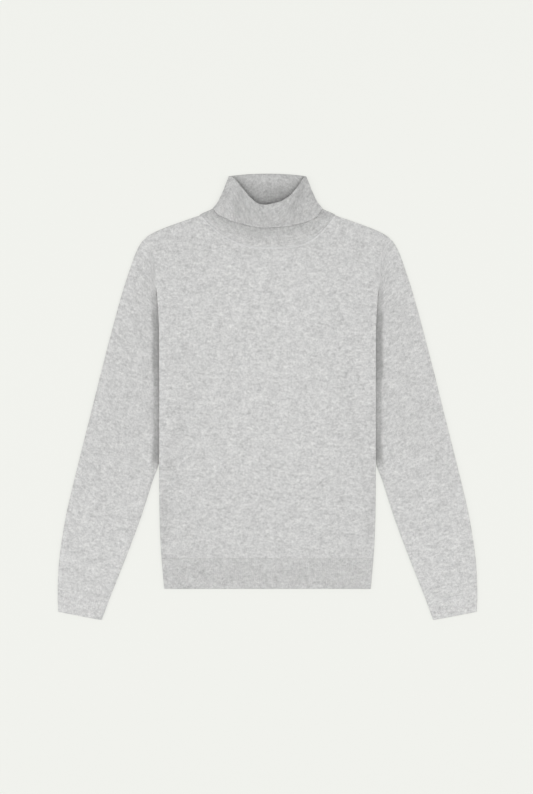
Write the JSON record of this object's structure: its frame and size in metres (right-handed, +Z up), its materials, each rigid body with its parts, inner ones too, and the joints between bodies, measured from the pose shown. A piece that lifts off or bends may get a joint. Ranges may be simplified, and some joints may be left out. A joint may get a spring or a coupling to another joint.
{
  "type": "turtleneck sweater",
  "caption": "Fine knit turtleneck sweater laid flat on its back, with a turned-down roll collar, long sleeves, and ribbed hem and cuffs.",
  "frame": {"origin": "on the surface that the sweater lies on, under the middle of its outline", "axes": "+X towards the wearer's left sleeve as seen from above with the neck away, +Y from hem to neck, +Z up out of the front"},
  "size_m": [0.714, 0.7596, 0.0175],
  "materials": {
    "fine_knit": "matte, soft brushed nap, light grey heather",
    "rib_knit": "matte fine rib, light grey heather"
  },
  "bodies": {
    "root": {"front": "fine_knit", "back": "fine_knit", "sleeve_left": "fine_knit", "sleeve_right": "fine_knit", "hem_rib_front": "rib_knit", "hem_rib_back": "rib_knit", "cuff_left": "rib_knit", "cuff_right": "rib_knit", "roll_collar": "rib_knit"}
  },
  "joints": []
}
